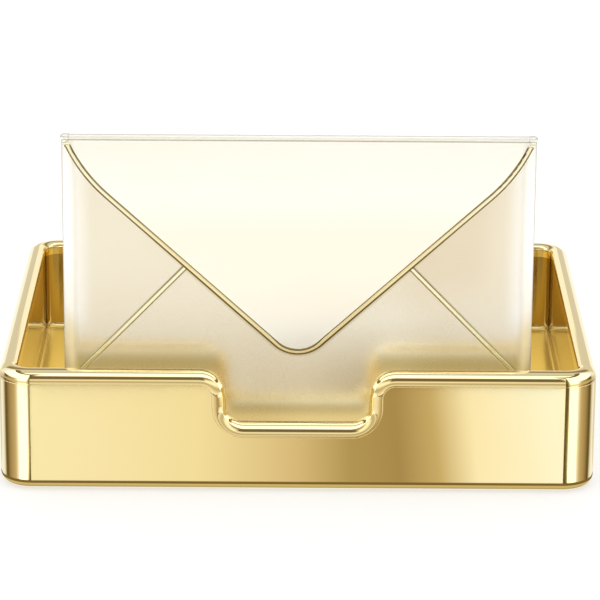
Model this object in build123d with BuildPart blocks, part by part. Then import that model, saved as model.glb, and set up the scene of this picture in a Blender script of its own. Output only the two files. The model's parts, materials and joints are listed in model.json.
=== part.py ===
from build123d import *
import os
from math import acos, atan2, cos, degrees, hypot, radians, sin, tan

# Desk letter tray with an upright metal envelope standing in it.
# Millimetres. +Z is up and -Y is the front. The origin is on the desk, below the middle of the tray.

# ---------------------------------------------------------------- driving dimensions
# Tray
tray_width = 330.0
tray_depth = 250.0
tray_height = 69.7
corner_radius = 18.0
wall_depth = 10.4
shell_sheet = 1.2
liner_sheet = 1.0
lower_edge_radius = 5.5
flange_width = 13.0
floor_level = 16.0
floor_edge_radius = 2.5

# Rounded rim, its key between the walls, and the finger notch in the front wall
rim_height = 7.4
rim_outer_radius = 6.8
rim_inner_radius = 3.5
seam_edge_radius = 0.3
key_width = 2.0
key_height = 4.0
notch_half_width = 39.4
notch_depth = 30.2
notch_top_radius = 14.6
notch_foot_radius = 9.9

# Underside
base_sheet = 2.0
base_gap = 0.5
post_radius = 4.0
post_inset_x = 53.0
post_inset_y = 50.0
foot_height = 1.0
foot_radius = 9.0
foot_inset = 32.0
foot_edge_radius = 0.8
foot_plug_radius = 3.0
foot_barb_radius = 3.7
foot_barb_height = 1.6

# Screws and nuts of the tray
screw_radius = 1.5
screw_head_radius = 2.9
screw_head_height = 1.4
socket_radius = 1.1
socket_depth = 1.0
base_screw_length = 9.0
rail_screw_length = 6.2
rail_screw_spacing = 66.0
rail_screw_count = 4
nut_radius = 3.2
nut_height = 2.4

# Rail that the envelope stands in
rail_length = 236.0
rail_height = 11.0
rail_sheet = 1.5
rail_base = 2.0
rail_play = 0.5
rail_corner_radius = 4.0
rail_edge_radius = 0.5
pad_thickness = 0.8
pad_end_gap = 3.0

# Envelope body
envelope_setback = 27.0
envelope_width = 260.0
envelope_top = 197.0
body_depth = 13.2
body_edge_radius = 6.5
panel_sheet = 1.1
back_top_drop = 4.5
foot_bar_height = 10.0
foot_bar_reach = 0.6

# Screws that hold the foot bar to the back panel
small_screw_radius = 1.25
small_head_radius = 2.2
small_head_height = 0.9
small_screw_length = 7.0
small_screw_spacing = 70.0
small_screw_count = 4

# Slanting seams of the lower panel, and the mouth of the pocket
seam_angle = 46.0
seam_low_height = 56.4
lap_width = 10.0
mouth_height = 150.0
mouth_corner_radius = 8.0
lap_foot_radius = 2.0
lap_edge_radius = 0.8
seam_bead_width = 2.2
seam_bead_height = 0.7
seam_bead_edge = 0.5

# Flap with its bead
flap_sheet = 1.2
flap_gap = 0.5
flap_tip_height = 73.0
flap_tip_radius = 18.0
flap_shoulder_radius = 90.0
flap_shoulder_turn = 24.0
flap_shoulder_inset = 3.0
bead_width = 3.4
bead_front = 0.9
bead_back = 0.3
bead_edge_radius = 1.1
bumper_radius = 3.0
bumper_height = 0.4
bumper_rise = 38.0
bumper_spacing = 50.0

# Hinge along the top edge, and the fine groove between its barrel and the flap's sheet
barrel_radius = 1.75
barrel_groove_drop = 1.1
barrel_groove_radius = 0.3
pin_radius = 0.9
pin_bite = 3.0
cap_length = 4.3
cap_edge_radius = 1.6
cap_block_height = 16.0

# Clearances
fit = 0.02
running_fit = 0.05
slip = 0.3
overcut = 5.0

# ---------------------------------------------------------------- places worked out from them
front = -tray_depth / 2
base_bottom = foot_height + shell_sheet
base_top = base_bottom + base_sheet
floor_underside = floor_level - liner_sheet
post_height = floor_underside - base_top
post_bore_depth = base_screw_length - base_sheet + slip

# Depths through the envelope, from the front of the flap to the back of the body
flap_front = front + envelope_setback
lap_front = flap_front + flap_sheet + flap_gap
body_front = lap_front + panel_sheet
body_middle = body_front + body_depth / 2
body_back = body_front + body_depth
rail_middle = (lap_front + body_back) / 2
rail_gap = body_back - lap_front + 2 * rail_play

# Heights of the envelope
rail_floor = floor_level + rail_base
foot_bar_bottom = rail_floor + pad_thickness
panel_bottom = foot_bar_bottom + foot_bar_reach
hinge_height = envelope_top - barrel_radius
groove_height = hinge_height - barrel_groove_drop
side_top = hinge_height - barrel_radius - slip
cap_bridge_bottom = side_top + slip
back_top = envelope_top - back_top_drop

# Widths of the envelope
half_envelope = envelope_width / 2
flat_half_width = half_envelope - body_edge_radius
cavity_half_width = half_envelope - panel_sheet - fit
cap_inner_face = half_envelope - cap_length
barrel_half_length = cap_inner_face - slip
pin_half_length = cap_inner_face + pin_bite
hinge_y = flap_front + barrel_radius

# Seam: from the side edge up to the mouth of the pocket, in the front view
seam_top_x = flat_half_width - (mouth_height - seam_low_height) / tan(radians(seam_angle))
lap_shift_x = lap_width * sin(radians(seam_angle))
lap_shift_z = lap_width * cos(radians(seam_angle))
lap_low_height = seam_low_height - lap_width / cos(radians(seam_angle))

# Edge line of the flap, along the middle of its bead: a tip arc, a straight side and a shoulder arc.
# The side's slope is the one at which the three meet the tip height and the shoulder's upper end.
shoulder_end_x = half_envelope - flap_shoulder_inset
shoulder_rise = side_top - flap_tip_height
shoulder_bulge = flap_shoulder_radius * (1 - cos(radians(flap_shoulder_turn))) - flap_tip_radius
reach = hypot(shoulder_rise - flap_tip_radius, shoulder_end_x)
flap_slope = degrees(
    acos(shoulder_bulge / reach) - atan2(shoulder_end_x, shoulder_rise - flap_tip_radius)
)
shoulder_steepness = flap_slope + flap_shoulder_turn
shoulder_run = flap_shoulder_radius * (sin(radians(shoulder_steepness)) - sin(radians(flap_slope)))
tip_run = flap_tip_radius * sin(radians(flap_slope))
side_length = (shoulder_end_x - shoulder_run - tip_run) / cos(radians(flap_slope))

# Where screws, posts and feet stand
post_x = tray_width / 2 - post_inset_x
post_y = tray_depth / 2 - post_inset_y
post_places = [(x * post_x, y * post_y) for x in (-1, 0, 1) for y in (-1, 1)]
rail_screw_places = [
    ((i - (rail_screw_count - 1) / 2) * rail_screw_spacing, rail_middle)
    for i in range(rail_screw_count)
]
small_screw_places = [
    ((i - (small_screw_count - 1) / 2) * small_screw_spacing, foot_bar_bottom + foot_bar_height / 2)
    for i in range(small_screw_count)
]
foot_x = tray_width / 2 - foot_inset
foot_y = tray_depth / 2 - foot_inset
foot_places = {
    "foot_front_left": (-foot_x, -foot_y),
    "foot_front_right": (foot_x, -foot_y),
    "foot_rear_left": (-foot_x, foot_y),
    "foot_rear_right": (foot_x, foot_y),
}

# Planes that the screws are driven from: each one's Z points the way that the screw goes
base_screw_plane = Plane.XY.offset(base_bottom)
rail_screw_plane = Plane((0, 0, rail_floor), x_dir=(1, 0, 0), z_dir=(0, 0, -1))
back_screw_plane = Plane((0, body_back, 0), x_dir=(1, 0, 0), z_dir=(0, -1, 0))


# ---------------------------------------------------------------- shared outlines and shapes
def tray_plan(inset):
    """Rounded plan of the tray, drawn inwards by inset."""
    RectangleRounded(
        tray_width - 2 * inset,
        tray_depth - 2 * inset,
        corner_radius - inset,
    )


def body_plan(inset):
    """Rounded plan of the envelope's body, drawn inwards by inset."""
    with Locations((0, body_middle)):
        RectangleRounded(
            envelope_width - 2 * inset,
            body_depth - 2 * inset,
            body_edge_radius - inset,
        )


def cut_above_edge(drop):
    """Cut away all that stands above the wall's top edge lowered by drop, notch included."""
    half = notch_half_width + drop
    top = tray_height - drop
    bottom = tray_height - notch_depth - drop
    side = tray_width / 2 + overcut
    lid = tray_height + overcut
    with BuildSketch(Plane.XZ.offset(overcut - front)) as front_region:
        with BuildLine():
            FilletPolyline(
                (-side, top),
                (-half, top),
                (-half, bottom),
                (half, bottom),
                (half, top),
                (side, top),
                radius=[
                    notch_top_radius - drop,
                    notch_foot_radius + drop,
                    notch_foot_radius + drop,
                    notch_top_radius - drop,
                ],
            )
            Polyline((side, top), (side, lid), (-side, lid), (-side, top))
        make_face()
    front_cut_depth = overcut + corner_radius + wall_depth
    extrude(front_region.sketch, amount=-front_cut_depth, mode=Mode.SUBTRACT)
    with BuildSketch(Plane.XY.offset(top)) as upper_region:
        Rectangle(2 * side, tray_depth + 2 * overcut)
    extrude(upper_region.sketch, amount=drop + overcut, mode=Mode.SUBTRACT)


def block_below_edge(drop):
    """A block wider than the tray, up to the wall's top edge lowered by drop."""
    with BuildPart() as block:
        with BuildSketch() as region:
            Rectangle(tray_width + overcut, tray_depth + overcut)
        extrude(region.sketch, amount=tray_height)
        cut_above_edge(drop)
    return block.part


def column_inside(inset):
    """A column with the tray's plan drawn inwards by inset."""
    with BuildPart() as column:
        with BuildSketch() as region:
            tray_plan(inset)
        extrude(region.sketch, amount=tray_height + overcut)
    return column.part


def edges_with_ends(ring, low_block, ends_below, core, ends_in_core):
    """The ring's edges with so many of their ends in the low block and so many in the core."""
    return ring.edges().filter_by(
        lambda edge: sum(low_block.is_inside(end) for end in (edge @ 0, edge @ 1)) == ends_below
        and sum(core.is_inside(end) for end in (edge @ 0, edge @ 1)) == ends_in_core
    )


def draw_flap_edge(outset):
    """Draw the right half of the flap's edge line, moved outwards by outset, from the tip upwards."""
    tip = JernArc((0, flap_tip_height - outset), (1, 0), flap_tip_radius + outset, flap_slope)
    side = Line(tip @ 1, tip @ 1 + (tip % 1) * side_length)
    return JernArc(side @ 1, side % 1, flap_shoulder_radius + outset, flap_shoulder_turn) @ 1


def screw_shapes(plane, places, sizes, grow=0.0, mode=Mode.ADD):
    """Countersunk screws driven along the plane's Z; grown and subtracted, the holes for them."""
    radius, head_radius, head_height, length = sizes
    low = (Align.CENTER, Align.CENTER, Align.MIN)
    with Locations(*[plane.location * Location((x, y, 0)) for x, y in places]):
        Cone(head_radius + grow, radius + grow, head_height, align=low, mode=mode)
        Cylinder(radius + grow, length + grow, align=low, mode=mode)


def screw_sockets(plane, places, radius, depth):
    """Cut a six-sided socket into each screw head."""
    with BuildSketch(plane) as sockets:
        with Locations(*places):
            RegularPolygon(radius, 6)
    extrude(sockets.sketch, amount=depth, mode=Mode.SUBTRACT)


base_screw_sizes = (screw_radius, screw_head_radius, screw_head_height, base_screw_length)
rail_screw_sizes = (screw_radius, screw_head_radius, screw_head_height, rail_screw_length)
back_screw_sizes = (small_screw_radius, small_head_radius, small_head_height, small_screw_length)
rail_screw_points = [(x, -y) for x, y in rail_screw_places]

os.makedirs("parts", exist_ok=True)

# ---------------------------------------------------------------- tray: outer shell
with BuildPart() as shell_hollow:
    with BuildSketch(Plane.XY.offset(base_bottom)):
        tray_plan(shell_sheet)
    extrude(amount=tray_height)
    fillet(shell_hollow.faces().sort_by(Axis.Z)[0].edges(), lower_edge_radius - shell_sheet)

with BuildPart() as outer_shell:
    with BuildSketch(Plane.XY.offset(foot_height)):
        tray_plan(0)
    extrude(amount=tray_height - foot_height)
    fillet(outer_shell.faces().sort_by(Axis.Z)[0].edges(), lower_edge_radius)
    add(shell_hollow.part, mode=Mode.SUBTRACT)
    with BuildSketch(Plane.XY.offset(foot_height)):
        tray_plan(flange_width)
    extrude(amount=shell_sheet, mode=Mode.SUBTRACT)
    cut_above_edge(rim_height)
    shell_edge = edges_with_ends(
        outer_shell, block_below_edge(rim_height + slip), 0, column_inside(shell_sheet / 2), 0
    )
    fillet(shell_edge, seam_edge_radius)
outer_shell.part.label = "outer_shell"
export_step(outer_shell.part, "parts/outer_shell.step")

# ---------------------------------------------------------------- tray: rounded rim
with BuildPart() as rim_key:
    with BuildSketch(Plane.XY.offset(tray_height - rim_height - key_height)):
        tray_plan(shell_sheet + running_fit)
    extrude(amount=key_height)
    with BuildSketch(Plane.XY.offset(tray_height - rim_height - key_height)):
        tray_plan(shell_sheet + running_fit + key_width)
        with Locations((0, front)):
            Rectangle(2 * (notch_half_width + notch_top_radius), 2 * wall_depth)
    extrude(amount=key_height, mode=Mode.SUBTRACT)

rim_middle = block_below_edge(rim_height / 2)
wall_middle = column_inside(wall_depth / 2)

with BuildPart() as rim_frame:
    with BuildSketch():
        tray_plan(0)
    extrude(amount=tray_height)
    with BuildSketch():
        tray_plan(wall_depth)
    extrude(amount=tray_height, mode=Mode.SUBTRACT)
    cut_above_edge(0)
    add(block_below_edge(rim_height), mode=Mode.SUBTRACT)
    fillet(edges_with_ends(rim_frame, rim_middle, 0, wall_middle, 2), rim_inner_radius)
    fillet(edges_with_ends(rim_frame, rim_middle, 0, wall_middle, 0), rim_outer_radius)
    fillet(edges_with_ends(rim_frame, rim_middle, 2, wall_middle, 0), seam_edge_radius)
    add(rim_key.part)
rim_frame.part.label = "rim_frame"
export_step(rim_frame.part, "parts/rim_frame.step")

# ---------------------------------------------------------------- tray: inner liner
with BuildPart() as liner_hollow:
    with BuildSketch(Plane.XY.offset(floor_level)):
        tray_plan(wall_depth)
    extrude(amount=tray_height)
    fillet(liner_hollow.faces().sort_by(Axis.Z)[0].edges(), floor_edge_radius)

with BuildPart() as inner_liner:
    with BuildSketch(Plane.XY.offset(floor_underside)):
        tray_plan(wall_depth - liner_sheet)
    extrude(amount=tray_height - floor_underside)
    fillet(inner_liner.faces().sort_by(Axis.Z)[0].edges(), floor_edge_radius + liner_sheet)
    add(liner_hollow.part, mode=Mode.SUBTRACT)
    cut_above_edge(rim_height)
    screw_shapes(rail_screw_plane, rail_screw_points, rail_screw_sizes, fit, Mode.SUBTRACT)
inner_liner.part.label = "inner_liner"
export_step(inner_liner.part, "parts/inner_liner.step")

# ---------------------------------------------------------------- tray: underside
with BuildPart() as base_plate:
    with BuildSketch(Plane.XY.offset(base_bottom)):
        tray_plan(lower_edge_radius + base_gap)
    extrude(amount=base_sheet)
    screw_shapes(base_screw_plane, post_places, base_screw_sizes, fit, Mode.SUBTRACT)
    with Locations(*[(x, y, base_bottom + base_sheet / 2) for x, y in foot_places.values()]):
        Cylinder(foot_plug_radius + fit, 2 * base_sheet, mode=Mode.SUBTRACT)
base_plate.part.label = "base_plate"
export_step(base_plate.part, "parts/base_plate.step")

with BuildPart() as floor_posts:
    with BuildSketch(Plane.XY.offset(base_top)):
        with Locations(*post_places):
            Circle(post_radius)
    extrude(amount=post_height)
    with BuildSketch(Plane.XY.offset(base_top)):
        with Locations(*post_places):
            Circle(screw_radius + fit)
    extrude(amount=post_bore_depth, mode=Mode.SUBTRACT)
floor_posts.part.label = "floor_posts"
export_step(floor_posts.part, "parts/floor_posts.step")

with BuildPart() as base_screws:
    screw_shapes(base_screw_plane, post_places, base_screw_sizes)
    screw_sockets(base_screw_plane, post_places, socket_radius, socket_depth)
base_screws.part.label = "base_screws"
export_step(base_screws.part, "parts/base_screws.step")

# Rubber foot: a round pad with a plug that snaps through the base plate
with BuildPart() as foot:
    with BuildSketch(Plane.XZ) as half_section:
        with BuildLine():
            Polyline(
                (0, 0),
                (foot_radius, 0),
                (foot_radius, base_bottom),
                (foot_plug_radius, base_bottom),
                (foot_plug_radius, base_top),
                (foot_barb_radius, base_top),
                (foot_plug_radius - foot_edge_radius, base_top + foot_barb_height),
                (0, base_top + foot_barb_height),
                (0, 0),
            )
        make_face()
        fillet(half_section.vertices().group_by(Axis.X)[-1], foot_edge_radius)
    revolve(axis=Axis.Z)
for name, (x, y) in foot_places.items():
    placed_foot = foot.part.moved(Location((x, y, 0)))
    placed_foot.label = name
    export_step(placed_foot, f"parts/{name}.step")

# ---------------------------------------------------------------- tray: rail for the envelope
with BuildPart() as stand_rail:
    with BuildSketch(Plane.YZ.offset(-rail_length / 2)):
        with Locations((rail_middle, floor_level)):
            Rectangle(rail_gap + 2 * rail_sheet, rail_height, align=(Align.CENTER, Align.MIN))
        with Locations((rail_middle, rail_floor)):
            Rectangle(rail_gap, rail_height, align=(Align.CENTER, Align.MIN), mode=Mode.SUBTRACT)
    extrude(amount=rail_length)
    fillet(stand_rail.edges().filter_by(Axis.Y).group_by(Axis.Z)[-1], rail_corner_radius)
    rail_lips = stand_rail.faces().filter_by(Axis.Z).group_by(Axis.Z)[-1]
    fillet(rail_lips.edges().filter_by(Axis.X), rail_edge_radius)
    screw_shapes(rail_screw_plane, rail_screw_points, rail_screw_sizes, fit, Mode.SUBTRACT)
stand_rail.part.label = "stand_rail"
export_step(stand_rail.part, "parts/stand_rail.step")

with BuildPart() as rail_pad:
    with BuildSketch(Plane.XY.offset(rail_floor)):
        with Locations((0, rail_middle)):
            Rectangle(rail_length - 2 * pad_end_gap, rail_gap - 2 * slip)
    extrude(amount=pad_thickness)
rail_pad.part.label = "rail_pad"
export_step(rail_pad.part, "parts/rail_pad.step")

with BuildPart() as rail_screws:
    screw_shapes(rail_screw_plane, rail_screw_points, rail_screw_sizes)
    screw_sockets(rail_screw_plane, rail_screw_points, socket_radius, socket_depth)
rail_screws.part.label = "rail_screws"
export_step(rail_screws.part, "parts/rail_screws.step")

with BuildPart() as rail_nuts:
    with BuildSketch(Plane.XY.offset(floor_underside)):
        with Locations(*rail_screw_places):
            RegularPolygon(nut_radius, 6)
            Circle(screw_radius + fit, mode=Mode.SUBTRACT)
    extrude(amount=-nut_height)
rail_nuts.part.label = "rail_nuts"
export_step(rail_nuts.part, "parts/rail_nuts.step")

# ---------------------------------------------------------------- envelope: body
with BuildPart() as envelope_back:
    with BuildSketch(Plane.XY.offset(panel_bottom)):
        body_plan(0)
        with BuildSketch(mode=Mode.PRIVATE) as cavity:
            body_plan(panel_sheet)
        add(cavity.sketch, mode=Mode.SUBTRACT)
        with Locations((0, body_middle)):
            Rectangle(
                envelope_width + overcut,
                body_depth,
                align=(Align.CENTER, Align.MAX),
                mode=Mode.SUBTRACT,
            )
    extrude(amount=back_top - panel_bottom)
    screw_shapes(back_screw_plane, small_screw_places, back_screw_sizes, fit, Mode.SUBTRACT)
envelope_back.part.label = "envelope_back"
export_step(envelope_back.part, "parts/envelope_back.step")

with BuildPart() as side_flap_right:
    with BuildSketch(Plane.XY.offset(panel_bottom)):
        body_plan(0)
        with BuildSketch(mode=Mode.PRIVATE) as cavity:
            body_plan(panel_sheet)
        add(cavity.sketch, mode=Mode.SUBTRACT)
        with Locations((0, body_middle)):
            Rectangle(
                envelope_width + overcut,
                body_depth,
                align=(Align.CENTER, Align.MIN),
                mode=Mode.SUBTRACT,
            )
    extrude(amount=side_top - panel_bottom)
    with BuildSketch(Plane.XZ.offset(-body_back)):
        with BuildLine():
            Polyline(
                (half_envelope + overcut, panel_bottom),
                (half_envelope + overcut, side_top),
                (flat_half_width, side_top),
                (seam_top_x, mouth_height),
                (seam_top_x - lap_shift_x, mouth_height - lap_shift_z),
                (flat_half_width, lap_low_height),
                (flat_half_width, panel_bottom),
                (half_envelope + overcut, panel_bottom),
            )
        make_face()
    extrude(amount=2 * body_depth, mode=Mode.INTERSECT)
side_flap_right.part.label = "side_flap_right"
export_step(side_flap_right.part, "parts/side_flap_right.step")

with BuildPart() as side_flap_left:
    mirror(side_flap_right.part, about=Plane.YZ)
side_flap_left.part.label = "side_flap_left"
export_step(side_flap_left.part, "parts/side_flap_left.step")

with BuildPart() as bottom_flap:
    with BuildSketch(Plane.XZ.offset(-body_front)):
        with BuildLine():
            FilletPolyline(
                (0, panel_bottom),
                (flat_half_width, panel_bottom),
                (flat_half_width, seam_low_height),
                (seam_top_x, mouth_height),
                (0, mouth_height),
                radius=[lap_foot_radius, lap_foot_radius, mouth_corner_radius],
            )
            Line((0, mouth_height), (0, panel_bottom))
        make_face()
        mirror(about=Plane.YZ)
    extrude(amount=panel_sheet)
    lap_front_face = bottom_flap.faces().sort_by(Axis.Y)[0]
    lap_front_edges = lap_front_face.edges().sort_by(Axis.Z)
    fillet(lap_front_edges[1:], lap_edge_radius)
bottom_flap.part.label = "bottom_flap"
export_step(bottom_flap.part, "parts/bottom_flap.step")

# Bar that closes the bottom of the body and stands in the rail
with BuildPart() as envelope_foot:
    with BuildSketch(Plane.XY.offset(foot_bar_bottom)):
        body_plan(panel_sheet + fit)
    extrude(amount=foot_bar_height)
    screw_shapes(back_screw_plane, small_screw_places, back_screw_sizes, fit, Mode.SUBTRACT)
envelope_foot.part.label = "envelope_foot"
export_step(envelope_foot.part, "parts/envelope_foot.step")

with BuildPart() as envelope_screws:
    screw_shapes(back_screw_plane, small_screw_places, back_screw_sizes)
    screw_sockets(back_screw_plane, small_screw_places, socket_radius, small_head_height)
envelope_screws.part.label = "envelope_screws"
export_step(envelope_screws.part, "parts/envelope_screws.step")

# Gold trim along the slanting seam, up to where the flap's bead crosses it
with BuildPart() as seam_bead_right:
    seam_plane = Plane(
        (flat_half_width, body_front, seam_low_height),
        x_dir=(-cos(radians(seam_angle)), 0, sin(radians(seam_angle))),
        z_dir=(0, -1, 0),
    )
    with BuildSketch(seam_plane):
        Rectangle(envelope_width, seam_bead_width, align=(Align.MIN, Align.MAX))
    extrude(amount=panel_sheet + seam_bead_height)
    front_face = seam_bead_right.faces().sort_by(Axis.Y)[0]
    fillet(front_face.edges(), seam_bead_edge)
    with BuildSketch(Plane.XZ.offset(-body_back)):
        with BuildLine():
            upper_end = draw_flap_edge(bead_width / 2 + slip)
            Polyline(
                upper_end,
                (upper_end.X, envelope_top + envelope_width),
                (-envelope_width, envelope_top + envelope_width),
                (-envelope_width, flap_tip_height - bead_width / 2 - slip),
                (0, flap_tip_height - bead_width / 2 - slip),
            )
        make_face()
    extrude(amount=2 * body_depth, mode=Mode.SUBTRACT)
seam_bead_right.part.label = "seam_bead_right"
export_step(seam_bead_right.part, "parts/seam_bead_right.step")

with BuildPart() as seam_bead_left:
    mirror(seam_bead_right.part, about=Plane.YZ)
seam_bead_left.part.label = "seam_bead_left"
export_step(seam_bead_left.part, "parts/seam_bead_left.step")

# ---------------------------------------------------------------- hinge along the top edge
with BuildPart() as hinge_cap_right:
    with BuildSketch(Plane.XY.offset(side_top - cap_block_height)):
        body_plan(panel_sheet + fit)
        with Locations((cap_inner_face, body_middle)):
            Rectangle(
                2 * envelope_width,
                body_depth,
                align=(Align.MAX, Align.CENTER),
                mode=Mode.SUBTRACT,
            )
    extrude(amount=cap_bridge_bottom - side_top + cap_block_height)
    with BuildSketch(Plane.YZ.offset(cap_inner_face)):
        with BuildLine():
            Polyline(
                (hinge_y, cap_bridge_bottom),
                (body_middle, cap_bridge_bottom),
                (body_middle, hinge_height),
                (hinge_y, envelope_top),
                (hinge_y, cap_bridge_bottom),
            )
        make_face()
    extrude(amount=cavity_half_width - cap_inner_face)
    cap_plane = Plane((cap_inner_face, hinge_y, hinge_height), x_dir=(1, 0, 0), z_dir=(0, -1, 0))
    with BuildSketch(cap_plane) as cap_section:
        Rectangle(cap_length, barrel_radius, align=(Align.MIN, Align.MIN))
        fillet(cap_section.vertices().group_by(Axis.X)[-1].sort_by(Axis.Y)[-1], cap_edge_radius)
    revolve(axis=Axis((0, hinge_y, hinge_height), (1, 0, 0)))
    with BuildSketch(Plane.YZ.offset(cap_inner_face)):
        with Locations((hinge_y, hinge_height)):
            Circle(pin_radius + fit)
    extrude(amount=pin_bite + fit, mode=Mode.SUBTRACT)
hinge_cap_right.part.label = "hinge_cap_right"
export_step(hinge_cap_right.part, "parts/hinge_cap_right.step")

with BuildPart() as hinge_cap_left:
    mirror(hinge_cap_right.part, about=Plane.YZ)
hinge_cap_left.part.label = "hinge_cap_left"
export_step(hinge_cap_left.part, "parts/hinge_cap_left.step")

with BuildPart() as hinge_pin:
    with BuildSketch(Plane.YZ.offset(-pin_half_length)):
        with Locations((hinge_y, hinge_height)):
            Circle(pin_radius)
    extrude(amount=2 * pin_half_length)
hinge_pin.part.label = "hinge_pin"
export_step(hinge_pin.part, "parts/hinge_pin.step")

# ---------------------------------------------------------------- flap
with BuildPart() as flap_barrel:
    with BuildSketch(Plane.YZ.offset(-barrel_half_length)):
        with Locations((hinge_y, hinge_height)):
            Circle(barrel_radius)
            Circle(pin_radius + running_fit, mode=Mode.SUBTRACT)
    extrude(amount=2 * barrel_half_length)
flap_barrel.part.label = "flap_barrel"
export_step(flap_barrel.part, "parts/flap_barrel.step")

with BuildPart() as barrel_room:
    with BuildSketch(Plane.YZ.offset(-half_envelope)):
        with Locations((hinge_y, hinge_height)):
            Circle(barrel_radius)
    extrude(amount=envelope_width)

with BuildPart() as flap_panel:
    with BuildSketch(Plane.XZ.offset(-flap_front - flap_sheet)):
        with BuildLine():
            upper_end = draw_flap_edge(0)
            Polyline(
                upper_end,
                (barrel_half_length, upper_end.Y),
                (barrel_half_length, groove_height),
                (0, groove_height),
                (0, flap_tip_height),
            )
        make_face()
        mirror(about=Plane.YZ)
    extrude(amount=flap_sheet)
    groove_edge = flap_panel.faces().sort_by(Axis.Y)[0].edges().sort_by(Axis.Z)[-1]
    fillet(groove_edge, barrel_groove_radius)
    add(barrel_room.part, mode=Mode.SUBTRACT)
flap_panel.part.label = "flap_panel"
export_step(flap_panel.part, "parts/flap_panel.step")

with BuildPart() as flap_bead:
    with BuildSketch(Plane.XZ.offset(-flap_front - flap_sheet - bead_back)):
        with BuildLine():
            outer_end = draw_flap_edge(bead_width / 2)
            Line(outer_end, (0, envelope_top))
            Line((0, envelope_top), (0, flap_tip_height - bead_width / 2))
        make_face()
        with BuildLine():
            inner_end = draw_flap_edge(-bead_width / 2)
            Line(inner_end, (0, envelope_top + overcut))
            Line((0, envelope_top + overcut), (0, flap_tip_height + bead_width / 2))
        make_face(mode=Mode.SUBTRACT)
        mirror(about=Plane.YZ)
    extrude(amount=flap_sheet + bead_back + bead_front)
    bead_front_face = flap_bead.faces().sort_by(Axis.Y)[0]
    fillet(bead_front_face.edges(), bead_edge_radius)
    with BuildSketch(Plane.XY.offset(side_top)):
        with Locations((0, flap_front)):
            Rectangle(envelope_width + overcut, 2 * body_depth)
    extrude(amount=barrel_radius + overcut, mode=Mode.SUBTRACT)
    add(flap_panel.part, mode=Mode.SUBTRACT)
flap_bead.part.label = "flap_bead"
export_step(flap_bead.part, "parts/flap_bead.step")

with BuildPart() as flap_bumpers:
    with BuildSketch(Plane.XZ.offset(-flap_front - flap_sheet - bumper_height)):
        with Locations(*[(x * bumper_spacing / 2, flap_tip_height + bumper_rise) for x in (-1, 1)]):
            Circle(bumper_radius)
    extrude(amount=bumper_height)
flap_bumpers.part.label = "flap_bumpers"
export_step(flap_bumpers.part, "parts/flap_bumpers.step")
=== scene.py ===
import json
from math import cos, pi, radians, sin

import bpy
from mathutils import Matrix, Vector


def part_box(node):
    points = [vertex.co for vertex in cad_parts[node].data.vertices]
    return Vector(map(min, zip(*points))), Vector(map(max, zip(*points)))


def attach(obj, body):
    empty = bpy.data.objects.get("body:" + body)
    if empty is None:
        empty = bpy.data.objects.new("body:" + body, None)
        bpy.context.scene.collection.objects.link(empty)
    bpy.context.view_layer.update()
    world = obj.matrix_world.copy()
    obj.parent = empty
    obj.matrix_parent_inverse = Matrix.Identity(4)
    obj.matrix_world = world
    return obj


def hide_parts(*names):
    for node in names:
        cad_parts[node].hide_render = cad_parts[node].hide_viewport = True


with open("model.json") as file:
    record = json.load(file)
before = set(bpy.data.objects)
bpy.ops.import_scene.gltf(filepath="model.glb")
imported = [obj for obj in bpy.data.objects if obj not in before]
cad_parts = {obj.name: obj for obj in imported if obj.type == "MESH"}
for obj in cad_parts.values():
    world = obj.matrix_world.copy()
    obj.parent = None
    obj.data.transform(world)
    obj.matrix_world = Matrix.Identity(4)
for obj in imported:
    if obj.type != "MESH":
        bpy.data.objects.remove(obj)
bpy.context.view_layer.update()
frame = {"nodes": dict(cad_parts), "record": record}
nodes = frame["nodes"]

# ---------------------------------------------------------------- sizes and places, in metres
MM = 0.001
tray_low, tray_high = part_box("outer_shell")
front_y = tray_low.y
half_tray = tray_high.x

# Camera: it looks down at the tray's front from the height of a seated person's eyes
IMAGE_SIZE = 600
SENSOR_MM = 36.0
FOCAL_PIXELS = 3423.8
CAMERA_ELEVATION = radians(18.205)
CAMERA_YAW = radians(0.075)
CAMERA_ROLL = radians(0.371)
CAMERA_DISTANCE = 1860.9 * MM
CAMERA_TARGET = Vector((1.01 * MM, front_y, 112.15 * MM))

# Places on the envelope that its satin and its painted light and shade follow: the groove under the rolled
# top edge, the start of the rolled sides, and the middle line of the flap's trim with its round tip
GROOVE_HEIGHT = 194.15 * MM
GROOVE_WIDTH = 0.5 * MM
ROLLED_SIDE = 121.0 * MM
FLAP_SLOPE = radians(42.42)
FLAP_TIP_RADIUS = 18.0 * MM
FLAP_TIP_CENTRE = 91.0 * MM

# Strength of the studio panels: their colours are shares of it
SOFTBOX = 2.0


# ---------------------------------------------------------------- colours
def rgb(red, green, blue):
    return (red, green, blue, 1.0)


def shade(colour):
    """The colour of a studio panel, where 1 is white and SOFTBOX is the brightest."""
    return rgb(*(level / SOFTBOX for level in colour))


# ---------------------------------------------------------------- node helpers
def feed(tree, socket, source):
    """Link a socket to its source, or set it where the source is a plain value."""
    if isinstance(source, bpy.types.NodeSocket):
        tree.links.new(source, socket)
    else:
        socket.default_value = source


def add_node(tree, name, *inputs, **settings):
    """Add a node and feed its inputs in order; None leaves one alone."""
    node = tree.nodes.new(name)
    for key, setting in settings.items():
        setattr(node, key, setting)
    for socket, source in zip(node.inputs, inputs):
        if source is not None:
            feed(tree, socket, source)
    return node


def calc(tree, operation, *inputs):
    """A maths node's result."""
    return add_node(tree, "ShaderNodeMath", *inputs, operation=operation).outputs[0]


def both(tree, first, second):
    """The share where one mask and the other hold."""
    return calc(tree, "MULTIPLY", first, second)


def either(tree, first, second):
    """The share where one mask or the other holds."""
    return calc(tree, "MAXIMUM", first, second)


def opposite(tree, share):
    """What a mask leaves free."""
    return calc(tree, "SUBTRACT", 1.0, share)


def axes(tree, vector):
    """The x, y and z of a vector."""
    return add_node(tree, "ShaderNodeSeparateXYZ", vector).outputs


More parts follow.
